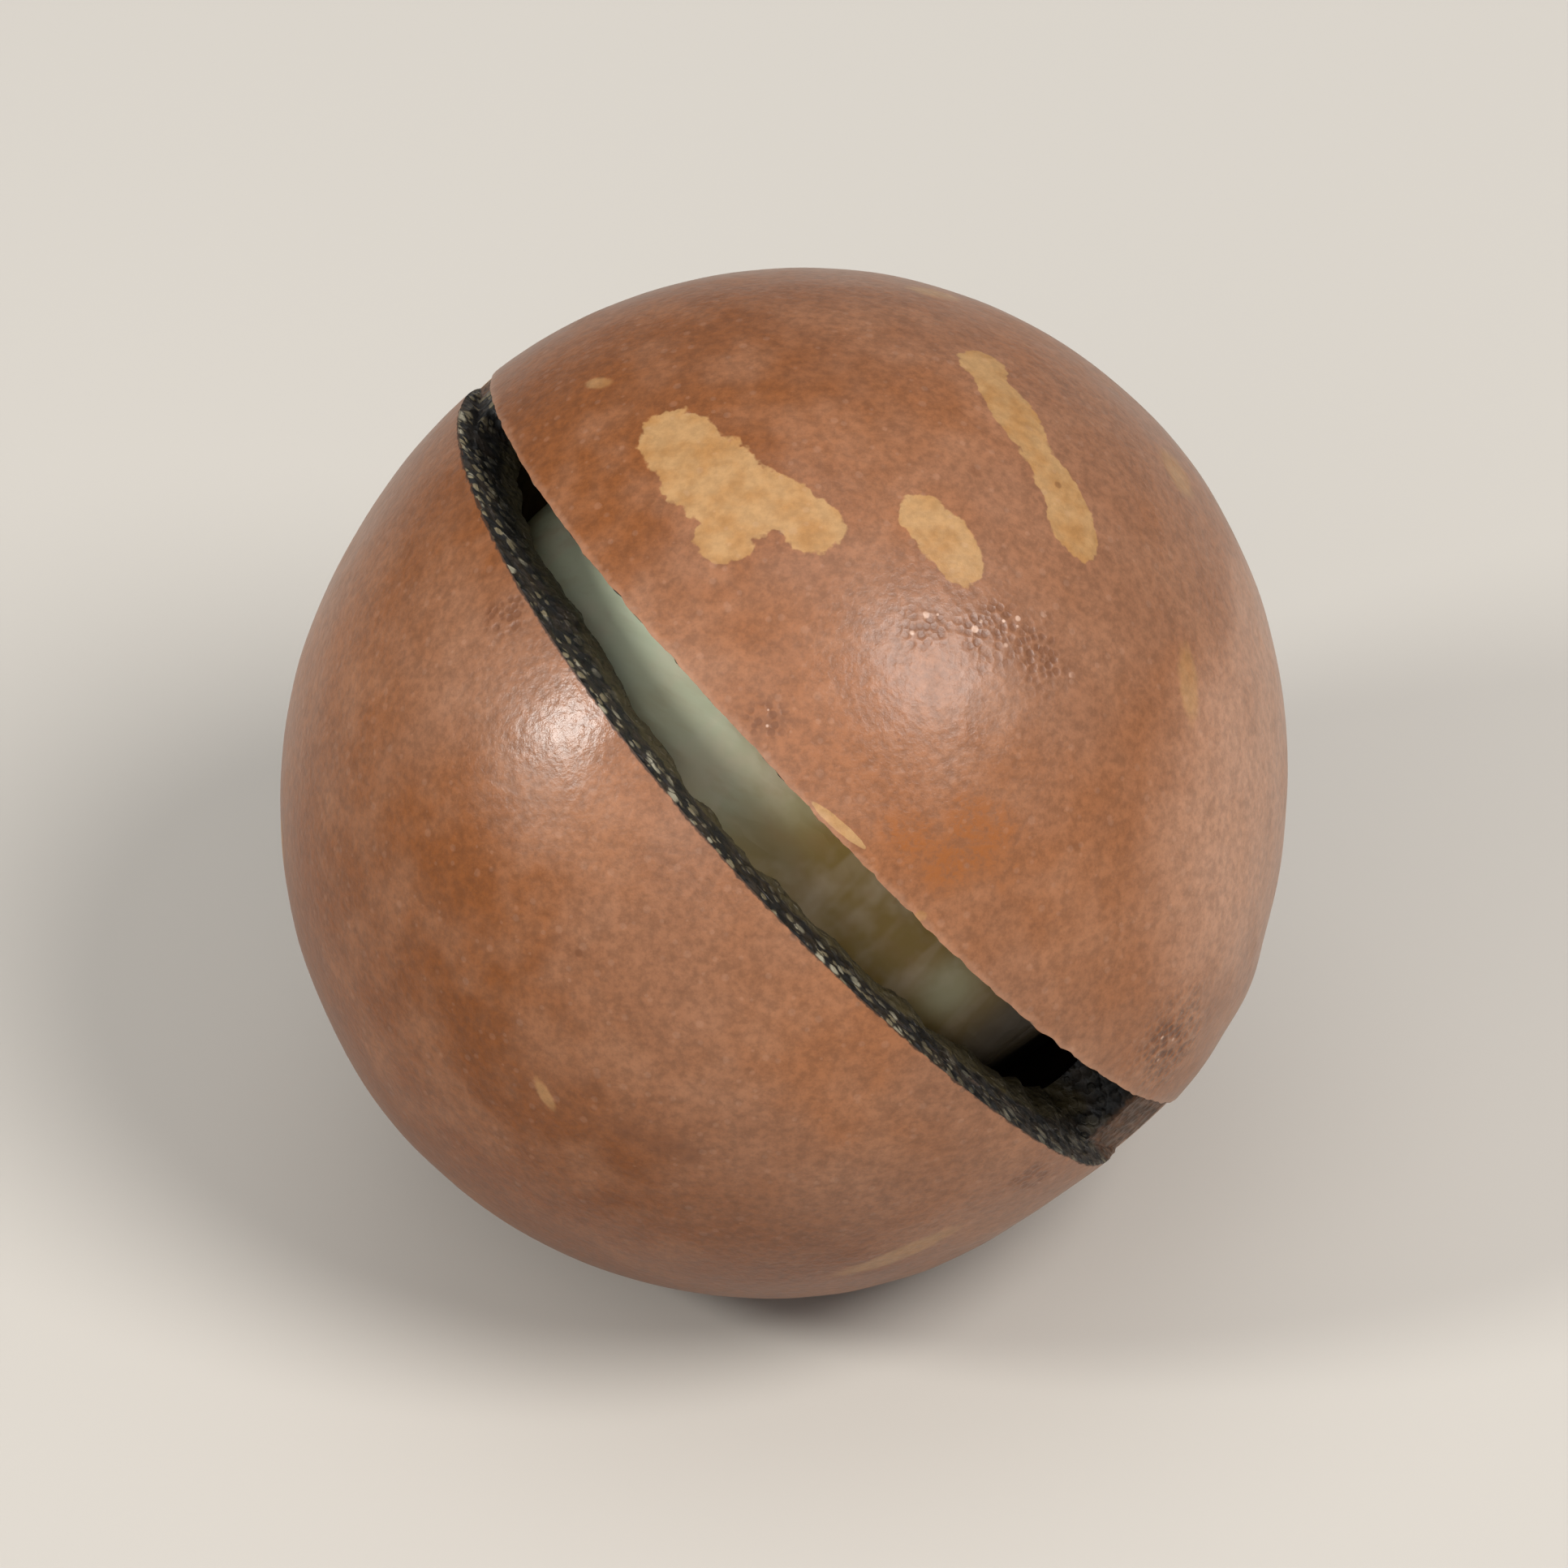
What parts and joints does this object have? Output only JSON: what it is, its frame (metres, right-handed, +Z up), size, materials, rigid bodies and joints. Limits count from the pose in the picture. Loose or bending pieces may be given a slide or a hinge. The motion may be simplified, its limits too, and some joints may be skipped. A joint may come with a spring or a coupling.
{
  "type": "macadamia nut in shell",
  "caption": "Round nut in its hard brown shell, with a saw slit across the front that shows the loose pale kernel inside.",
  "frame": {"origin": "on the surface the nut rests on, under the middle of its overall box", "axes": "+Z is up from the flat resting spot; the slit faces the front, -Y, and slopes from the upper left to the lower right; the nut's own tip points to the front right and its scar to the back left"},
  "size_m": [0.0252, 0.0252, 0.0251],
  "materials": {
    "shell": "satin, waxy sheen, woody",
    "kernel": "smooth, slightly oily"
  },
  "bodies": {
    "root": {"shell": "shell", "kernel": "kernel"}
  },
  "joints": []
}
